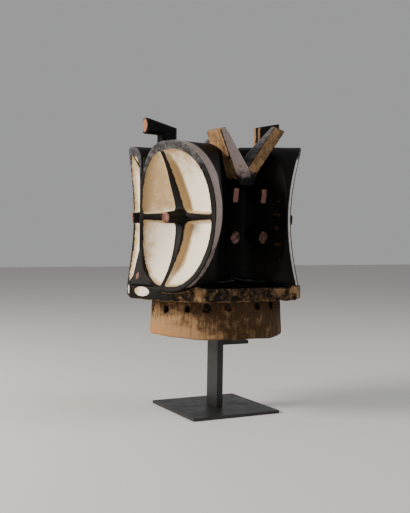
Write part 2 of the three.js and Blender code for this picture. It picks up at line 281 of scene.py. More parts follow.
def platesField(x, y, z):
    # the four plates, and the room in front of their white quarters
    total, room = None, -99
    for plate in plates:
        t, h, depth = plateLocal(plate, x, y, z)
        front, white = plateFront(plate, t, h)
        edge = ovalBlock(plate, t, h, 0) + wave(h, depth, "plateEdge", plate["seed"])
        slab = smax(edge, (front - depth) * 0.9, 4)
        slab = np.maximum(slab, depth - plateSizes["reach"])
        total = slab if total is None else smin(total, slab, 3)
        room = np.maximum(room, whiteRoom(front, depth, white))
    return total, room


coreSizes = {
    "x": 96, "y": 104, "low": 240, "top": 512, "toDistance": 92,
    # heights, and the core's share of its full width there
    "profile": [(240, 1), (478, 1), (494, 0.93), (506, 0.72), (512, 0.4), (516, 0.01)],
}


def coreField(x, y, z):
    s = coreSizes
    heights, shares = zip(*s["profile"])
    ring = np.sqrt((x / s["x"]) ** 2 + (y / s["y"]) ** 2)
    side = (ring - np.interp(z, heights, shares)) * s["toDistance"]
    return np.maximum(np.maximum(side, s["low"] - z), (z - s["top"]) * 0.9)


recessSizes = {
    "middle": 90, "curve": 2.2, "furthest": 1.4, "floor": 255, "slope": 0.28, "edge": 141, "run": 55,
    "thinRun": 65, "blend": 8,
}


def recessField(x, y, z):
    s = recessSizes
    total = None
    up = z - plateSizes["middle"]
    h = np.minimum(plateSizes["half"], np.abs(up)) / plateSizes["half"]
    low = smooth(0, -s["thinRun"], up)
    for side, sideName in ((1, "right"), (-1, "left")):
        edges = {}
        for name, face in faces.items():
            rim = face[sideName]
            edges[name] = rim["y"] - face["wall"] + face["thin"] * low + rim["flare"] * h ** 2
        edge = np.where(y < 0, edges["front"], edges["back"])
        w = np.minimum(np.abs(y) / edge, s["furthest"])
        reach = rim["x"] - s["middle"]
        wall = s["middle"] + reach * w ** s["curve"]
        slope = reach * s["curve"] * w ** (s["curve"] - 1) / edge
        inside = (wall - side * x) / np.sqrt(1 + slope ** 2)
        rise = s["slope"] * np.clip(s["edge"] - side * x, 0, s["run"])
        cut = smax(inside, s["floor"] + rise - z, s["blend"])
        total = cut if total is None else np.minimum(total, cut)
    return total


webSizes = {
    "half": 30, "front": -120, "back": 90, "low": 240, "top": 496,
    "footHalf": 33, "footFront": -141, "footBack": 118, "footTop": 255,
}


def webField(x, y, z):
    s = webSizes
    outline = [
        (0, -faces["front"]["ridge"] + 5), (s["half"], s["front"]), (s["half"], s["back"]),
        (0, faces["back"]["ridge"] - 5), (-s["half"], s["back"]), (-s["half"], s["front"]),
    ]
    block = np.maximum(polygonDistance(outline, x, y), np.maximum(s["low"] - z, z - s["top"]))
    middle = (s["footFront"] + s["footBack"]) / 2
    reach = (s["footBack"] - s["footFront"]) / 2
    tall = (s["footTop"] - s["low"]) / 2
    foot = boxDistance(x, y - middle, z - s["low"] - tall, (s["footHalf"], reach, tall), 2)
    return smin(block, foot, 4)


browSizes = {"half": 40, "slope": 0.34, "low": 420, "top": 506, "deep": 60, "bend": 26}


def browField(x, y, z):
    s = browSizes
    total = None
    for face in faces.values():
        out = face["sign"] * y
        front = (out - face["ridge"] + np.abs(x) * s["slope"]) * 0.95
        block = np.maximum(np.maximum(front, face["ridge"] - s["deep"] - out), np.abs(x) - s["half"])
        block = smax(block, np.maximum(s["low"] - z, z - s["top"]), 3)
        total = block if total is None else np.minimum(total, block)
    for plate in plates:
        t, h, _ = plateLocal(plate, x, y, z)
        total = smax(total, -ovalBlock(plate, t, h, 3), 2)
    return total


noseSizes = {"top": 318, "half": 46, "foot": 248, "deep": 60, "cheek": 14}


def noseField(x, y, z):
    s = noseSizes
    total = None
    for face, tip in ((faces["front"], ledgeSizes["tipFront"]), (faces["back"], ledgeSizes["tipBack"])):
        apex = np.array([0, face["ridge"] + 1, s["top"]])
        foot = np.array([0, tip - 2, s["foot"]])
        cheek = np.array([s["half"], face["ridge"] - s["cheek"], s["foot"]])
        normal = np.cross(foot - apex, cheek - apex).astype(float)
        normal /= np.linalg.norm(normal)
        if normal[1] < 0:
            normal = -normal
        out = face["sign"] * y
        plane = np.abs(x) * normal[0] + (out - apex[1]) * normal[1] + (z - apex[2]) * normal[2]
        fan = (s["top"] - z) / (s["top"] - s["foot"])
        back = (face["ridge"] - s["deep"] + np.abs(x) - out) * 0.7
        wedge = smax(plane, np.maximum(back, s["foot"] - 8 - z), 2)
        wedge = smax(wedge, (np.abs(x) - s["half"] * fan) * 0.85, 2)
        wedge = np.maximum(wedge, z - s["top"])
        total = wedge if total is None else np.minimum(total, wedge)
    return total


ledgeSizes = {
    "low": 225, "top": 252, "tipFront": 188, "tipBack": 168,
    "side": 141, "cornerFront": 106, "cornerBack": 100,
    # x, and how far back from the tip, along the slanted sides
    "slantFront": [(60, 20), (104, 42)], "slantBack": [(104, 34), (60, 12)],
}


def ledgeOutline():
    s = ledgeSizes
    right = [(0, -s["tipFront"])]
    right += [(px, back - s["tipFront"]) for px, back in s["slantFront"]]
    right += [(s["side"] - 1, -s["cornerFront"]), (s["side"], 0), (s["side"] - 1, s["cornerBack"])]
    right += [(px, s["tipBack"] - back) for px, back in s["slantBack"]]
    right += [(0, s["tipBack"])]
    return right + [(-px, py) for px, py in right[-2:0:-1]]


def ledgeField(x, y, z):
    s = ledgeSizes
    outline = polygonDistance(ledgeOutline(), x, y) + 1.4 + wave(x + y, x - y, "ledgeEdge")
    chipped = wave(x * 1.3, y * 1.3, "ledgeUnder")
    return smax(outline, smax(s["low"] + 1 + chipped - z, z - s["top"], 2), 4)


collarSizes = {
    "low": 152, "top": 236, "lowRadius": 133, "topRadius": 128,
    "sideWaves": [(3, 1, 0.6), (7, 0, 0.35)], "lowWaves": [(5, 2, 0.9), (11, 0, 0.5)],
}


def collarRadius(z):
    s = collarSizes
    return mix(s["lowRadius"], s["topRadius"], (z - s["low"]) / (s["top"] - s["low"]))


def collarField(x, y, z):
    s = collarSizes
    angle = np.arctan2(y, x)
    out = ripple(collarRadius(z) - 1.2, angle, s["sideWaves"])
    low = ripple(s["low"] + 1.4, angle, s["lowWaves"])
    return smax(np.sqrt(x * x + y * y) - out, smax(low - z, z - s["top"], 1), 6)


hollowSizes = {
    "top": 485,
    # heights and the bore's radius there
    "profile": [
        (140, 118), (152, 118), (210, 115), (236, 102), (264, 76), (440, 76), (472, 57), (484, 30), (488, 1),
    ],
}


def hollowField(x, y, z):
    heights, radii = zip(*hollowSizes["profile"])
    bore = np.interp(z, heights, radii)
    return smax((np.sqrt(x * x + y * y) - bore) * 0.85, z - hollowSizes["top"], 6)


hornSizes = {
    "outer": 140, "inner": 82, "y": -12, "notch": 477, "root": 446,
    "front": (-55, 545), "back": (65, 552), "thick": 20, "hole": (133, -52, 490, 3.4),
    # the back arm's inner side is cut along the line between these two x and z
    "taperLow": (94, 498), "taperHigh": (126, 556), "taperGap": 4,
}


def hornOutline():
    s = hornSizes
    y, thick = s["y"], s["thick"]
    return [
        (y, s["notch"]),
        (y + s["front"][0] + thick * 0.35, s["front"][1] + 2),
        (y + s["front"][0] - thick * 0.3, s["front"][1] - 4),
        (y - thick * 1.35, s["root"] + 14),
        (y - thick * 0.8, s["root"] - 6),
        (y + thick * 0.6, s["root"] - 6),
        (y + thick * 1.15, s["root"] + 20),
        (y + s["back"][0] + thick * 0.8, s["back"][1] - 6),
        (y + s["back"][0] - thick * 0.45, s["back"][1] + 2),
    ]


def hornField(x, y, z):
    s = hornSizes
    outline = polygonDistance(hornOutline(), y, z) + 0.8
    across = np.abs(x) - (s["outer"] + s["inner"]) / 2
    horn = smax(outline, np.abs(across) - (s["outer"] - s["inner"]) / 2 + 0.6, 3)
    (lowX, lowZ), (highX, highZ) = s["taperLow"], s["taperHigh"]
    run, rise = highX - lowX, highZ - lowZ
    past = ((z - lowZ) * run - (np.abs(x) - lowX) * rise) / math.hypot(run, rise)
    horn = smax(horn, np.minimum(past, y - s["y"] - s["taperGap"]), 2)
    hx, hy, hz, radius = s["hole"]
    hole = np.maximum(np.sqrt((x - hx) ** 2 + (z - hz) ** 2) - radius, np.abs(y - hy) - 10)
    return smax(horn, -hole, 1)


sidePegSizes = {
    "outer": 142, "inner": 62, "front": -38, "back": 22, "droop": 0.16, "highZ": 428, "lowZ": 351,
    "width": 12, "height": 27, "swell": 0.25, "radius": 10.2, "taper": 2, "tall": 1.22,
}


def sidePegField(x, y, z):
    s = sidePegSizes
    total = None
    half = (s["outer"] - s["inner"]) / 2
    u = np.abs(x) - s["inner"] - half
    c, sn = math.cos(s["droop"]), math.sin(s["droop"])
    for py in (s["front"], s["back"]):
        for pz, flat in ((s["highZ"], True), (s["lowZ"], False)):
            along = u * c - (z - pz) * sn
            up = (z - pz) * c + u * sn
            if flat:
                swell = 1 + s["swell"] * smooth(20, -40, along)
                size = (half, s["width"] / 2, s["height"] / 2)
                peg = boxDistance(along, (y - py) / swell, up / swell, size, 2)
            else:
                radius = s["radius"] + 1 - along / (2 * half) * s["taper"]
                peg = smax(np.sqrt((y - py) ** 2 + (up / s["tall"]) ** 2) - radius, np.abs(along) - half, 3)
            total = peg if total is None else np.minimum(total, peg)
    return total


eyePegSizes = {"radius": 10, "root": 14.5, "droop": 0.06, "sunk": 12, "near": 17}


def eyePegLocal(plate, x, y, z):
    s = eyePegSizes
    t, h, depth = plateLocal(plate, x, y, z)
    along = plateSizes["bowl"] - depth + (h / plateSizes["half"]) ** 2 * plate["flare"]
    c, sn = math.cos(s["droop"]), math.sin(s["droop"])
    centre = (plate["peg"] - s["sunk"]) / 2
    run = (along - centre) * c - h * sn
    up = h * c + (along - centre) * sn
    return run, t - plateSizes["shift"], up


def eyePegField(x, y, z):
    s = eyePegSizes
    total = None
    for plate in plates:
        run, across, up = eyePegLocal(plate, x, y, z)
        length = plate["peg"] + s["sunk"]
        share = np.clip(run / length + 0.5, 0, 1)
        radius = mix(s["root"], s["radius"], share)
        peg = smax(np.sqrt(across ** 2 + up ** 2) - radius, np.abs(run) - length / 2, 2.5)
        total = peg if total is None else np.minimum(total, peg)
    return total


crestSizes = {
    "front": {"sign": -1, "near": 95, "far": 131, "tip": 161, "topNear": 554, "topTip": 571, "under": 539},
    "back": {"sign": 1, "near": 85, "far": 112, "tip": 138, "topNear": 568, "topTip": 579, "under": 553},
}
crestHalf = 12.5
crestLow = 470


def crestField(x, y, z):
    total = None
    for s in crestSizes.values():
        outline = [
            (s["near"], crestLow), (s["far"], crestLow), (s["far"], s["under"] - 1),
            (s["tip"], s["under"]), (s["tip"], s["topTip"]), (s["near"], s["topNear"]),
        ]
        side = polygonDistance(outline, s["sign"] * y, z) + 1
        crest = smax(side, np.abs(x) - crestHalf + 0.4, 6)
        total = crest if total is None else np.minimum(total, crest)
    return total


holeSizes = {
    "radius": 7.6, "height": 208, "riseX": 0.06, "riseY": 0.03, "hidden": 10,
    "least": 0.92, "spread": 0.16, "ragged": 0.1, "tall": 0.94, "inner": 100,
    # degrees round the axis of the holes that the photograph shows
    "seen": [-102.5, -76.5, -53, -36, -18, 9, 27.5],
}


def holeAngles():
    seen, hidden = holeSizes["seen"], holeSizes["hidden"]
    step = (360 + seen[0] - seen[-1]) / (hidden + 1)
    return seen + [seen[-1] + (i + 1) * step for i in range(hidden)]


def holesField(x, y, z):
    s = holeSizes
    total = None
    for i, degrees in enumerate(holeAngles()):
        a = math.radians(degrees)
        out = x * math.cos(a) + y * math.sin(a)
        side = y * math.cos(a) - x * math.sin(a)
        rise = collarSizes["topRadius"] * (s["riseX"] * math.cos(a) + s["riseY"] * math.sin(a))
        up = z - s["height"] - rise
        radius = s["radius"] * (s["least"] + s["spread"] * math.sin(i * 2.3 + 1))
        ragged = 1 + s["ragged"] * np.sin(np.arctan2(up, side) * 3 + i)
        hole = np.maximum(np.sqrt(side ** 2 + (up * s["tall"]) ** 2) - radius * ragged, s["inner"] - out)
        total = hole if total is None else np.minimum(total, hole)
    return total


def maskField(x, y, z):
    plateBody, room = platesField(x, y, z)
    body = smin(plateBody, smax(coreField(x, y, z), room, 2), 4)
    body = smax(body, -recessField(x, y, z), 3)
    body = smin(body, webField(x, y, z), 3)
    body = smin(body, ledgeField(x, y, z), 4)
    body = smin(body, collarField(x, y, z), 3)
    body = smin(body, browField(x, y, z), 2)
    body = smin(body, smax(noseField(x, y, z), room, 2), 3)
    for part in (eyePegField, hornField, sidePegField, crestField):
        body = smin(body, part(x, y, z), 4)
    body = smax(body, -hollowField(x, y, z), 3)
    return smax(body, -holesField(x, y, z), 1.2)


# The mask's mesh from its field.

maskMesh = {
    "step": 1.6, "quickStep": 2.6, "faces": 88000, "margin": 6, "slab": 40, "inset": 0.02,
    # how many steps of distance the grid keeps on each side of the surface
    "band": 4,
}


def maskBox():
    return [np.array(corner) * 1000 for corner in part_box("mask")]


def gridAxes(step):
    low, high = maskBox()
    low, high = low - maskMesh["margin"], high + maskMesh["margin"]
    return [np.arange(low[i], high[i] + step, step, dtype=np.float32) for i in range(3)]


def meshFromField(step):
    axes = gridAxes(step)
    x, y = axes[0][:, None, None], axes[1][None, :, None]
    layers = []
    slab = maskMesh["slab"]
    for start in range(0, len(axes[2]), slab):
        z = axes[2][None, None, start:start + slab]
        layers.append(maskField(x, y, z).astype(np.float32))
    field = np.concatenate(layers, axis=2)
    band = step * maskMesh["band"]
    grid = openvdb.FloatGrid(band)
    grid.copyFromArray(np.clip(field, -band, band))
    points, quads = grid.convertToQuads(isovalue=0.0)
    points = points * step + np.array([axis[0] for axis in axes])
    return points, quads


def newMesh(name, points, polygons):
    mesh = bpy.data.meshes.new(name)
    mesh.from_pydata([tuple(p) for p in points.tolist()], [], polygons.tolist())
    mesh.validate()
    piece = bpy.data.objects.new(name, mesh)
    bpy.context.scene.collection.objects.link(piece)
    return piece


def applyModifiers(piece):
    graph = bpy.context.evaluated_depsgraph_get()
    finished = bpy.data.meshes.new_from_object(piece.evaluated_get(graph))
    piece.modifiers.clear()
    old = piece.data
    piece.data = finished
    bpy.data.meshes.remove(old)


def meshVectors(values, name):
    flat = np.empty(len(values) * 3, np.float32)
    values.foreach_get(name, flat)
    return flat.reshape(-1, 3)


def makeMask():
    points, quads = meshFromField(maskMesh["step"])
    piece = newMesh("carvedMask", points, quads)
    print("mask field meshed", len(points), "points", len(quads), "faces")
    thin = piece.modifiers.new("thin", "DECIMATE")
    thin.ratio = min(1, maskMesh["faces"] / len(quads))
    applyModifiers(piece)
    return piece


maskPiece = makeMask()
print("mask thinned to", len(maskPiece.data.polygons), "faces")


# What is painted, worn or bare, stored point by point on the mask.

startLayers = {
    "onFace": 0, "plateT": 0, "plateHalf": 100, "plateBend": 0, "rimDepth": 99, "rimFacing": 1,
    "onLedge": 0, "rub": 0.02, "bare": 0, "tone": 0.35, "pink": 0,
}
wearAndLightSpots = {
    # x, y, z, half width and half height in millimetres
    "chips": [(137, -106, 240, 16, 18), (124, 118, 244, 20, 22), (139, 92, 243, 12, 12)],
    "bareSide": [(141, 60, 243, 26, 8), (141, -20, 244, 12, 5)],
    # a row of painted patches of light on the back plates' inner walls, beside the recess
    "recessLightPatches": [(158, 41, z, 12, 6) for z in (414, 388, 363, 334, 300)],
}


def spots(points, places):
    # 1 inside flat oval spots, softly down to 0 at their edges
    best = 0
    for x, y, z, across, tall in places:
        level = ((points[:, 0] - x) ** 2 + (points[:, 1] - y) ** 2) / across ** 2
        away = np.sqrt(level + ((points[:, 2] - z) / tall) ** 2)
        best = np.maximum(best, smooth(-2, 4, (1 - away) * min(across, tall)))
    return best


def lay(layers, where, **amounts):
    # sets each named layer to its amount where the condition holds
    for name, amount in amounts.items():
        layers[name] = np.where(where, amount, layers[name])


def brush(layers, patch, where=True, **amounts):
    # raises each named layer to its amount inside a patch, softly at its edge
    for name, amount in amounts.items():
        lay(layers, where & (patch > 0), **{name: np.maximum(layers[name], amount * patch)})


def paintPlates(layers, x, y, z, nx, ny, nz):
    for plate in plates:
        t, h, depth = plateLocal(plate, x, y, z)
        front, white = plateFront(plate, t, h)
        alongX, alongY = plate["along"]
        mine = (x * alongX > 0) & (y * plate["out"][1] > 0)
        lay(layers, mine, plateT=t, plateHalf=plate["half"], plateBend=plate["bend"])

        facing = nx * plate["out"][0] + ny * plate["out"][1]
        offNose = np.maximum(noseField(x, y, z), whiteRoom(front, depth, white)) > 1
        face = (np.abs(depth - front) < 6) & (gauge(plate, t, h, False) < 1.03) & (facing > 0.1) & offNose
        band = face & (gauge(plate, t, h, True) > 0.97)
        lay(layers, band, rub=np.maximum(layers["rub"], 0.02 + 0.46 * smooth(55, 115, h)))

        run, across, up = eyePegLocal(plate, x, y, z)
        pegHalf = (plate["peg"] + eyePegSizes["sunk"]) / 2
        nearPeg = np.sqrt(across ** 2 + up ** 2) < eyePegSizes["near"]
        lay(layers, face & ~(nearPeg & (run > eyePegSizes["sunk"] - pegHalf)), onFace=1)
        lay(layers, nearPeg & (run > pegHalf - 2.2), pink=0.8)

        sideways = (nx * alongX + ny * alongY) * t / plate["half"] + nz * h / plateSizes["half"]
        nearRim = mine & (t > plate["half"] * 0.1) & (z > ledgeSizes["top"] + 2) & (sideways > -0.2)
        lay(layers, nearRim, rimDepth=depth, rimFacing=facing)


def paintHorns(layers, x, y, z, nx, ny, nz):
    s = hornSizes
    up = z - s["root"]
    onHorn = (up > -8) & (np.abs(x) > s["inner"] - 2) & (hornField(x, y, z) < 2)
    frontArm, backArm = onHorn & (y < s["y"]), onHorn & (y >= s["y"])
    outer, forward = np.abs(nx) > 0.6, ny < -0.4
    fade = smooth(4, 28, up)
    offEdge = smooth(s["outer"] - 1, s["outer"] - 4, np.abs(x))
    offOutline = smooth(-1.0, -3.5, polygonDistance(hornOutline(), y, z))
    lay(layers, frontArm & forward & ~outer, bare=0.95 * offEdge * smooth(0, 16, up), tone=0.42)
    lay(layers, frontArm & ~forward, rub=0.8 * fade)
    lay(layers, frontArm & outer, pink=0.52, bare=smooth(54, 24, up) * 0.42 * fade)
    lay(layers, backArm & outer, bare=0.72 * fade * offOutline, tone=0.36)
    lay(layers, backArm & ~outer, rub=0.55 * fade)
    lay(layers, onHorn & (nz > 0.7) & (up > 89), bare=0.7)
    hx, hy, hz, radius = s["hole"]
    # the walls inside the hole are painted black: a painted shade
    shadedHole = (np.hypot(x - hx, z - hz) < radius + 0.6) & (np.abs(y - hy) < 14)
    lay(layers, shadedHole, bare=0, rub=0)


def paintRecess(layers, points, x, y, z, nx, nz):
    s = sidePegSizes
    between = (z > s["lowZ"] - 26) & (z < s["highZ"] + 22)
    pegEnds = (np.abs(x) > s["outer"] - 7) & (np.abs(nx) > 0.6) & between & (sidePegField(x, y, z) < 2)
    lay(layers, pegEnds, pink=np.where(z < (s["lowZ"] + s["highZ"]) / 2, 0.72, 1.0))
    # the recess floor's upward faces are painted grey: a painted sheen
    floor = (z > recessSizes["floor"] - 3) & (z < recessSizes["floor"] + 20) & (nz > 0.5)
    lay(layers, floor & (np.abs(x) > recessSizes["middle"] - 2), rub=0.42)
    # pale brown spots on the back plates' inner walls: painted patches of light
    lightPatches = spots(points, wearAndLightSpots["recessLightPatches"])
    brush(layers, lightPatches, bare=0.56)
    lay(layers, lightPatches > 0, tone=-0.25)


def paintCrests(layers, x, y, z, ny):
    onCrest = (np.abs(x) < crestHalf + 3) & (crestField(x, y, z) < 2) & (z > coreSizes["top"])
    back = crestSizes["back"]["near"]
    lay(layers, onCrest & (y < -back) & (ny > 0.4), rub=0.95)
    lay(layers, onCrest & (np.abs(y - back) < 5), bare=0.85 * smooth(4, 8, np.abs(x - 3)))
    lay(layers, onCrest & (y > back - 5), tone=0.6)


def paintBase(layers, points, x, y, z, nx, nz):
    # the ledge, the collar, the holes in it and the hollow
    s = ledgeSizes
    radius = np.sqrt(x * x + y * y)
    onLedge = (ledgeField(x, y, z) < 2.5) & (z < s["top"] + 4) & (z > s["low"] - 3)
    onLedge &= radius > collarSizes["topRadius"] - 16
    onCollar = (z < collarSizes["top"]) & (collarField(x, y, z) < 3) & ~onLedge
    lay(layers, onLedge & (np.abs(nz) < 0.75), onLedge=1)
    lay(layers, onLedge & (np.abs(nx) > 0.7) & (z < s["top"] - 1), bare=0.46, tone=0.12)
    lay(layers, onLedge & (nz < -0.5), bare=0.6)
    brush(layers, spots(points, wearAndLightSpots["bareSide"]), onLedge, bare=0.72, tone=0.45)
    brush(layers, spots(points, wearAndLightSpots["chips"]), onLedge, bare=0.66, tone=0.42)

    up = z - collarSizes["low"]
    low = smooth(53, 8, up)
    # the collar's wood tone, lighter towards its bottom, and painted lighter on the side turned to the key
    # light: a painted light
    lit = np.clip(np.cos(np.arctan2(y, x) - math.radians(-88)), 0, 1) ** 2
    collarToneAndLight = 0.16 * low - 0.06 + 0.8 * lit * (0.3 + 0.7 * low)
    lay(layers, onCollar, bare=1, tone=collarToneAndLight, pink=smooth(8, 1, up) * 0.3)
    lay(layers, hollowField(x, y, z) < 3, bare=0.5, tone=0.1, onFace=0)
    # the walls deep inside the collar's holes are painted near black: a painted shade
    shadedHole = (holesField(x, y, z) < 1.4) & (radius < collarRadius(z) - 3.2)
    lay(layers, shadedHole, bare=0.05, rub=0)


def convexity(piece, points, normals):
    # how far each point stands out from its surroundings, in millimetres
    edges = np.empty(len(piece.data.edges) * 2, np.int64)
    piece.data.edges.foreach_get("vertices", edges)
    a, b = edges.reshape(-1, 2).T
    count = np.bincount(a, minlength=len(points)) + np.bincount(b, minlength=len(points))

    def average(values):
        total = np.zeros_like(values)
        np.add.at(total, a, values[b])
        np.add.at(total, b, values[a])
        return total / np.maximum(count, 1).reshape((-1,) + (1,) * (values.ndim - 1))

    around = average(average(average(points)))
    bulge = ((points - around) * normals).sum(1)
    for _ in range(2):
        bulge = 0.5 * bulge + 0.5 * average(bulge)
    return bulge


def store(piece, name, values):
    data = piece.data.attributes.new(name, "FLOAT", "POINT")
    data.data.foreach_set("value", np.ascontiguousarray(values, np.float32))


def paintMask(piece):
    points = meshVectors(piece.data.vertices, "co")
    normals = meshVectors(piece.data.vertex_normals, "vector")
    x, y, z = points.T.astype(np.float64)
    nx, ny, nz = normals.T
    layers = {name: np.full(len(points), float(start)) for name, start in startLayers.items()}
    paintPlates(layers, x, y, z, nx, ny, nz)
    paintHorns(layers, x, y, z, nx, ny, nz)
    paintRecess(layers, points, x, y, z, nx, nz)
    paintCrests(layers, x, y, z, ny)
    paintBase(layers, points, x, y, z, nx, nz)
    for name, values in layers.items():
        store(piece, name, values)
    store(piece, "edge", np.clip(convexity(piece, points, normals), -0.4, 0.45))


def placeMask(piece):
    # from millimetres to metres, a hair inside the solid's box
    low, high = maskBox()
    inset = maskMesh["inset"]
    points = np.clip(meshVectors(piece.data.vertices, "co"), low + inset, high - inset) * mm
    piece.data.vertices.foreach_set("co", points.astype(np.float32).ravel())
    piece.data.update()
    for polygon in piece.data.polygons:
        polygon.use_smooth = True


paintMask(maskPiece)
placeMask(maskPiece)
print("mask painted")


# Materials.

class Graph:
    def __init__(self, name):
        self.material = bpy.data.materials.new(name)
        self.material.use_nodes = True
        self.tree = self.material.node_tree
        self.tree.nodes.clear()
        self.shader = self.tree.nodes.new("ShaderNodeBsdfPrincipled")
        output = self.tree.nodes.new("ShaderNodeOutputMaterial")
        self.tree.links.new(self.shader.outputs["BSDF"], output.inputs["Surface"])
        self.coords = self.tree.nodes.new("ShaderNodeTexCoord").outputs["Object"]
        split = self.tree.nodes.new("ShaderNodeSeparateXYZ")
        self.tree.links.new(self.coords, split.inputs["Vector"])
        self.place = [self.math("DIVIDE", split.outputs[axis], mm) for axis in "XYZ"]

    def plug(self, socket, value):
        if isinstance(value, bpy.types.NodeSocket):
            self.tree.links.new(value, socket)
        elif isinstance(value, tuple) and len(value) == 3 and len(socket.default_value) == 4:
            socket.default_value = (*value, 1)
        else:
            socket.default_value = value

    def attribute(self, name):
        node = self.tree.nodes.new("ShaderNodeAttribute")
        node.attribute_name = name
        return node.outputs["Fac"]

    def stretched(self, scales):
        node = self.tree.nodes.new("ShaderNodeMapping")
        self.tree.links.new(self.coords, node.inputs["Vector"])
        node.inputs["Scale"].default_value = scales
        return node.outputs["Vector"]

    def noise(self, scale, detail, rough, seed, vector=None):
        node = self.tree.nodes.new("ShaderNodeTexNoise")
        node.noise_dimensions = "4D"
        node.inputs["W"].default_value = seed
        self.tree.links.new(vector or self.coords, node.inputs["Vector"])
        node.inputs["Scale"].default_value = scale
        node.inputs["Detail"].default_value = detail
        node.inputs["Roughness"].default_value = rough
        return node.outputs["Fac"]

    def math(self, kind, a, b=0.0, c=0.0):
        node = self.tree.nodes.new("ShaderNodeMath")
        node.operation = kind
        for socket, value in zip(node.inputs, (a, b, c)):
            self.plug(socket, value)
        return node.outputs["Value"]

    def shaken(self, value, noise, amount, drop=None):
        # adds a noise of the given amount, less what it would add on average
        drop = amount / 2 if drop is None else drop
        return self.math("ADD", value, self.math("MULTIPLY_ADD", noise, amount, -drop))

    def ramp(self, value, low, high, start=0.0, end=1.0):
        node = self.tree.nodes.new("ShaderNodeMapRange")
        node.interpolation_type = "SMOOTHSTEP"
        settings = {"Value": value, "From Min": low, "From Max": high, "To Min": start, "To Max": end}
        for key, item in settings.items():
            self.plug(node.inputs[key], item)
        return node.outputs["Result"]

    def line(self, share, start, end):
        # a straight mix of two numbers by a share held between 0 and 1
        node = self.tree.nodes.new("ShaderNodeMix")
        for socket, value in zip(node.inputs, (share, None, start, end)):
            if value is not None:
                self.plug(socket, value)
        return node.outputs["Result"]

    def blend(self, factor, a, b):
        node = self.tree.nodes.new("ShaderNodeMix")
        node.data_type = "RGBA"
        self.plug(node.inputs["Factor"], factor)
        self.plug(node.inputs[6], a)
        self.plug(node.inputs[7], b)
        return node.outputs[2]

    def bump(self, height, strength, distance):
        node = self.tree.nodes.new("ShaderNodeBump")
        node.inputs["Strength"].default_value = strength
        node.inputs["Distance"].default_value = distance
        self.plug(node.inputs["Height"], height)
        self.tree.links.new(node.outputs["Normal"], self.shader.inputs["Normal"])


maskLook = {
    "black": (0.0035, 0.003, 0.0028),
    "dark": (0.0085, 0.007, 0.0063),
    # grey is worn paint, and the painted sheen on the recess floor; pale is worn paint, and the painted
    # highlight on the back rims' sides
    "grey": (0.13, 0.125, 0.13),
    "rose": (0.34, 0.26, 0.235),
    "pale": (0.50, 0.475, 0.45),
    "pegEnd": (0.17, 0.07, 0.052),
    "pegPale": (0.20, 0.11, 0.09),
    "crestEnd": (0.29, 0.115, 0.075),
    "brown": (0.045, 0.024, 0.011),
    "ochre": (0.26, 0.155, 0.075),
    "orange": (0.37, 0.155, 0.055),
    "chalk": (0.76, 0.69, 0.56),
    "chalkTan": (0.42, 0.29, 0.15),
    "chalkDark": (0.28, 0.165, 0.075),
    "specular": 0.075,
    "bump": (0.5, 0.0012),
}


paintedOvals = {
    # x, z, half width and half height in millimetres, on both sides of the middle
    "chalk": (32.4, 241, 20, 9.5),
    "nostrils": (8.5, 269, 2.8, 8),
    "crestEnd": (0, 555, 10.5, 13.5),
}
# the two that lie on the front face alone are painted below this y
ovalFront = {"nostrils": -150, "crestEnd": -158}


def oval(g, name):
    # positive inside a painted oval, in millimetres
    px, pz, across, tall = paintedOvals[name]
    x, _, z = g.place
    u = g.math("DIVIDE", g.math("SUBTRACT", g.math("ABSOLUTE", x), px), across)
    v = g.math("DIVIDE", g.math("SUBTRACT", z, pz), tall)
    away = g.math("SQRT", g.math("ADD", g.math("MULTIPLY", u, u), g.math("MULTIPLY", v, v)))
    inside = g.math("MULTIPLY", g.math("SUBTRACT", 1, away), min(across, tall))
    return g.math("MAXIMUM", inside, -20)


rimPaint = {
    # each pair is for the front rims and the back ones
    "pastWall": (1, -1.5),
    "topExtra": (6, 0),
    "turnedFrom": (0.55, 0.4),
    "turnedTo": (0.8, 0.65),
    "pink": (0.5, 0),
    # the rest are heights, with the amounts at both ends
    "topRun": (430, 460),
    # the back rims' amount, high below the crown, paints the highlight along their edge
    "crownRun": (488, 502, 1.6, 0.3),
    "frontAmount": (1.15, 0.7),
}


def rimSideWearAndHighlight(g):
    # the outer side of each rim, how pale and how pink it is: worn pinkish paint on the front rims, and on
    # the back rims a painted highlight along their thin edge
    s = rimPaint
    _, y, z = g.place
    wallFront, wallBack = (face["wall"] + past for face, past in zip(faces.values(), s["pastWall"]))
    back = g.math("GREATER_THAN", y, 0)
    low = g.ramp(z, plateSizes["middle"] - recessSizes["thinRun"], plateSizes["middle"], 1, 0)
    wall = g.line(back, g.line(low, wallFront, wallFront - faces["front"]["thin"]), wallBack)
    wall = g.math("ADD", wall, g.math("MULTIPLY", g.ramp(z, *s["topRun"]), g.line(back, *s["topExtra"])))
    past = g.math("SUBTRACT", g.attribute("rimDepth"), wall)
    turnedFrom, turnedTo = g.line(back, *s["turnedFrom"]), g.line(back, *s["turnedTo"])
    turned = g.ramp(g.attribute("rimFacing"), turnedFrom, turnedTo, 1, 0)
    side = g.math("MULTIPLY", turned, g.ramp(past, -1, 2, 1, 0))
    amount = g.line(back, g.line(low, *s["frontAmount"]), g.ramp(z, *s["crownRun"]))
    return g.math("MULTIPLY", side, amount), g.math("MULTIPLY", side, g.line(back, *s["pink"]))


chalkStainAndShade = {
    # start and end of each fade in millimetres, and the stain at both
    # flank, just right of the upright bar, and left, on the upper quarters left of it, are stain and painted
    # shade together
    "flank": (12, 27, 1, 0),
    "flankEnds": (85, 122, 1, 0),
    "flankLean": (0, 2),
    "left": (-30, 14, 0.7, 0),
    "leftRise": (-15, 30),
    "rim": (1, 9, 0.6, 0),
    "top": (50, 115, 0, 0.5),
    "ridge": (-94, -56, 1, 0),
    "ridgeRise": (-10, 40, 0.5, 1.05),
}


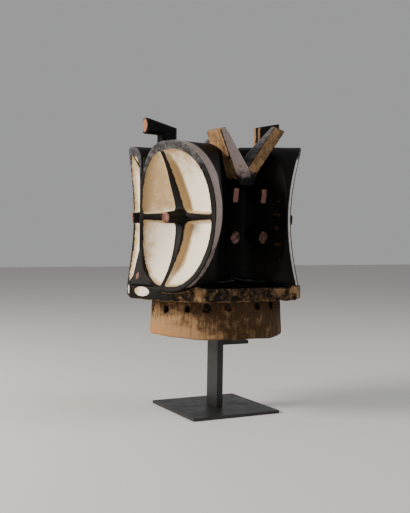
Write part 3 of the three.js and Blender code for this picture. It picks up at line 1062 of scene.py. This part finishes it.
def quarters(g, t, h, u):
    # how far inside a white quarter a point lies, in millimetres, as in plateFront
    s = plateSizes
    farU, farH = g.math("ABSOLUTE", u), g.math("ABSOLUTE", h)
    barV = g.line(g.math("DIVIDE", farH, s["uprightTaper"]), *s["upright"])
    shareU = g.math("POWER", g.math("DIVIDE", farU, s["levelTaper"]), s["levelPower"])
    a, b = g.math("SUBTRACT", farU, barV), g.math("SUBTRACT", farH, g.line(shareU, *s["level"]))
    lackA, lackB = (g.math("MAXIMUM", g.math("SUBTRACT", s["corner"], value), 0) for value in (a, b))
    near = g.math("SQRT", g.math("ADD", g.math("MULTIPLY", lackA, lackA), g.math("MULTIPLY", lackB, lackB)))
    quarter = g.math("MINIMUM", g.math("MINIMUM", a, b), g.math("SUBTRACT", s["corner"], near))

    right = g.math("GREATER_THAN", t, 0)
    power = g.line(right, s["ridgeRoundness"], s["roundness"])
    wide = g.math("SUBTRACT", g.attribute("plateHalf"), g.line(right, s["bandRidge"], s["bandRim"]))
    turn = g.ramp(h, -s["bandTurn"], s["bandTurn"])
    tall = g.math("SUBTRACT", s["half"], g.line(turn, s["bandLow"], s["bandTop"]))
    shareT = g.math("POWER", g.math("DIVIDE", g.math("ABSOLUTE", t), wide), power)
    shareH = g.math("POWER", g.math("DIVIDE", farH, tall), power)
    share = g.math("POWER", g.math("ADD", shareT, shareH), g.math("DIVIDE", 1, power))
    radius = g.math("SQRT", g.math("ADD", g.math("MULTIPLY", t, t), g.math("MULTIPLY", h, h)))
    past = g.math("SUBTRACT", g.math("DIVIDE", s["toDistance"], share), s["toDistance"])
    white = g.math("SMOOTH_MIN", quarter, g.math("MULTIPLY", radius, past), s["soft"])
    return g.line(g.ramp(g.attribute("onFace"), 0.3, 0.7), -12, white)


def chalkMasks(g):
    # how far inside a white quarter a point lies, and how stained its chalk is, with painted shade beside
    # the upright bar and on the upper quarters left of it
    s = chalkStainAndShade
    t = g.attribute("plateT")
    h = g.math("ADD", g.place[2], -plateSizes["middle"])
    up = g.ramp(h, 0, plateSizes["bendTop"])
    bend = g.math("MULTIPLY", up, g.attribute("plateBend"))
    u = g.math("ADD", g.math("ADD", t, -plateSizes["shift"]), bend)
    white = quarters(g, t, h, u)

    flank = g.ramp(g.math("ADD", u, g.line(up, *s["flankLean"])), *s["flank"])
    flank = g.math("MULTIPLY", flank, g.math("GREATER_THAN", u, 0))
    stainedAndShaded = g.math("MULTIPLY", flank, g.ramp(g.math("ABSOLUTE", h), *s["flankEnds"]))
    left = g.math("MULTIPLY", g.ramp(h, *s["leftRise"]), g.ramp(u, *s["left"]))
    rim = g.math("MULTIPLY", g.ramp(white, *s["rim"]), g.attribute("onFace"))
    ridge = g.math("MULTIPLY", g.ramp(t, *s["ridge"]), g.ramp(h, *s["ridgeRise"]))
    for other in (left, rim, g.ramp(h, *s["top"]), ridge):
        stainedAndShaded = g.math("MAXIMUM", stainedAndShaded, other)
    return white, stainedAndShaded


woodNoise = {
    # scale, detail, roughness and seed
    "fine": (520, 3, 0.6, 1),
    "medium": (120, 5, 0.6, 2),
    "broad": (26, 4, 0.55, 3),
    "grain": (1, 5, 0.65, 4),
    "blotch": (60, 5, 0.7, 5),
}
grainScales = (230, 230, 16)
woodFades = {
    # start and end of each fade, and what it gives at both where that isn't 0 and 1
    "soot": (0.38, 0.75),
    "rose": (0.1, 0.5),
    "wornAndHighlight": (0.35, 1.0, 0, 0.85),
    "pale": (1.15, 1.5),
    "ochre": (0.0, 0.6),
    "orange": (0.5, 1.2),
    "flecks": (0.60, 0.72, 0, 0.7),
    "bare": (0.35, 0.62),
    "crestEnd": (-0.5, 1.5),
    "nostrils": (-0.5, 0.8, 0, 0.9),
    "pegPale": (0.4, 0.65),
    "ends": (0.62, 0.85),
    "chalkTan": (0.1, 0.75),
    "specks": (0.60, 0.70, 0, 0.55),
    "onLedge": (0.3, 0.7),
    "chalk": (0.2, 1.4),
    "bareRough": (0.35, 0.7, 0.52, 0.78),
    "chalkRough": (0, 1, 0.4, 0.9),
}


def makeWood():
    look = maskLook
    g = Graph("carvedWood")

    def fade(value, name):
        return g.ramp(value, *woodFades[name])

    names = ("fine", "medium", "broad", "blotch")
    fine, medium, broad, blotch = (g.noise(*woodNoise[name]) for name in names)
    grain = g.noise(*woodNoise["grain"], g.stretched(grainScales))

    soot = g.blend(fade(broad, "soot"), look["black"], look["dark"])
    sideWearAndHighlight, sidePink = rimSideWearAndHighlight(g)
    # worn paint on edges and rims, with the painted sheen on the recess floor and the painted highlight on
    # the rims' sides
    onEdges = g.math("ADD", g.attribute("rub"), g.math("MULTIPLY", g.attribute("edge"), 0.5))
    wornAndHighlightMask = g.shaken(g.math("MAXIMUM", onEdges, sideWearAndHighlight), medium, 1.1)
    pink = g.math("MAXIMUM", g.attribute("pink"), sidePink)
    wornAndHighlightTint = g.blend(fade(pink, "rose"), look["grey"], look["rose"])
    colour = g.blend(fade(wornAndHighlightMask, "wornAndHighlight"), soot, wornAndHighlightTint)
    colour = g.blend(fade(wornAndHighlightMask, "pale"), colour, look["pale"])

    woodTone = g.shaken(g.shaken(g.attribute("tone"), grain, 0.8), blotch, 1.6)
    wood = g.blend(fade(woodTone, "ochre"), look["brown"], look["ochre"])
    wood = g.blend(fade(woodTone, "orange"), wood, look["orange"])
    wood = g.blend(fade(fine, "flecks"), wood, look["brown"])
    bareMask = g.shaken(g.shaken(g.attribute("bare"), medium, 1.6), fine, 0.5)
    colour = g.blend(fade(bareMask, "bare"), colour, wood)

    crestEnd, nostrils = (
        g.math("MULTIPLY", fade(oval(g, name), name), g.math("LESS_THAN", g.place[1], ovalFront[name]))
        for name in ("crestEnd", "nostrils")
    )
    ends = g.math("MAXIMUM", pink, g.math("MAXIMUM", crestEnd, nostrils))
    endColour = g.blend(fade(medium, "pegPale"), look["pegEnd"], look["pegPale"])
    endColour = g.blend(crestEnd, endColour, look["crestEnd"])
    colour = g.blend(fade(g.shaken(ends, medium, 0.5), "ends"), colour, endColour)

    white, stainedAndShaded = chalkMasks(g)
    # the chalk's tan: stains, and painted shade beside the upright bar and on the upper left quarters
    stainAndShade = g.shaken(stainedAndShaded, blotch, 1.3, 0.62)
    chalkColour = g.blend(fade(stainAndShade, "chalkTan"), look["chalk"], look["chalkTan"])
    specks = fade(g.math("MULTIPLY_ADD", medium, 0.6, g.math("MULTIPLY", fine, 0.4)), "specks")
    chalkColour = g.blend(specks, chalkColour, look["chalkDark"])
    patches = g.shaken(oval(g, "chalk"), medium, 3.0)
    patches = g.line(fade(g.attribute("onLedge"), "onLedge"), -20, patches)
    chalkMask = fade(g.math("MAXIMUM", patches, g.shaken(white, medium, 3.0, 1.2)), "chalk")
    colour = g.blend(chalkMask, colour, chalkColour)

    g.plug(g.shader.inputs["Base Color"], colour)
    rough = g.math("MAXIMUM", fade(bareMask, "bareRough"), fade(chalkMask, "chalkRough"))
    g.plug(g.shader.inputs["Roughness"], rough)
    g.plug(g.shader.inputs["Specular IOR Level"], look["specular"])
    g.bump(g.math("MULTIPLY_ADD", grain, 0.6, g.math("MULTIPLY", medium, 0.8)), *look["bump"])
    return g.material


steelLook = {
    "paint": (0.009, 0.009, 0.0095),
    "rubbed": (0.035, 0.034, 0.033),
    "rub": (0.5, 0.85, 0, 0.5),
    "rough": (0.3, 0.7, 0.34, 0.5),
    "broad": (30, 4, 0.6, 7),
    "fine": (900, 2, 0.5, 8),
    "bump": (0.08, 0.0003),
}


def makeSteel():
    look = steelLook
    g = Graph("standSteel")
    broad, fine = g.noise(*look["broad"]), g.noise(*look["fine"])
    colour = g.blend(g.ramp(broad, *look["rub"]), look["paint"], look["rubbed"])
    g.plug(g.shader.inputs["Base Color"], colour)
    g.plug(g.shader.inputs["Roughness"], g.ramp(broad, *look["rough"]))
    g.bump(fine, *look["bump"])
    return g.material


def dress(piece, material):
    piece.data.materials.clear()
    piece.data.materials.append(material)


wood, steel = makeWood(), makeSteel()
dress(maskPiece, wood)
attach(maskPiece, "root")
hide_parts("mask")

standNodes = ["stand_plate", "stand_post", "stand_arm", "stand_head"]
for name in standNodes:
    dress(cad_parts[name], steel)
print("materials made")


# Floor and lights.

studio = {
    "floorSize": 12,
    "floor": (0.62, 0.61, 0.59),
    "floorRough": 0.9,
    "world": (0.86, 0.86, 0.87),
    "worldStrength": 0.42,
    "target": (0, 0, 0.33),
    # name, place, size, power and colour
    "lights": [
        ("key", (-0.35, -2.3, 1.15), 0.9, 108, (1.0, 0.925, 0.83)),
        ("fill", (2.3, -0.6, 1.3), 1.6, 10, (0.93, 0.96, 1.0)),
        ("rim", (0.9, 2.0, 1.5), 1.0, 24, (0.95, 0.97, 1.0)),
    ],
}


def makeStudio():
    half = studio["floorSize"] / 2
    corners = np.array([(-half, -half, 0), (half, -half, 0), (half, half, 0), (-half, half, 0)])
    floor = newMesh("floor", corners, np.array([[0, 1, 2, 3]]))
    g = Graph("floorPaper")
    g.plug(g.shader.inputs["Base Color"], studio["floor"])
    g.plug(g.shader.inputs["Roughness"], studio["floorRough"])
    dress(floor, g.material)
    world = bpy.data.worlds.new("studioWorld")
    world.use_nodes = True
    back = world.node_tree.nodes["Background"]
    back.inputs["Color"].default_value = (*studio["world"], 1)
    back.inputs["Strength"].default_value = studio["worldStrength"]
    bpy.context.scene.world = world
    target = Vector(studio["target"])
    for name, place, size, power, colour in studio["lights"]:
        data = bpy.data.lights.new(name, "AREA")
        data.size = size
        data.energy = power
        data.color = colour
        light = bpy.data.objects.new(name, data)
        light.location = place
        light.rotation_euler = (target - Vector(place)).to_track_quat("-Z", "Y").to_euler()
        bpy.context.scene.collection.objects.link(light)


makeStudio()
print("studio made")
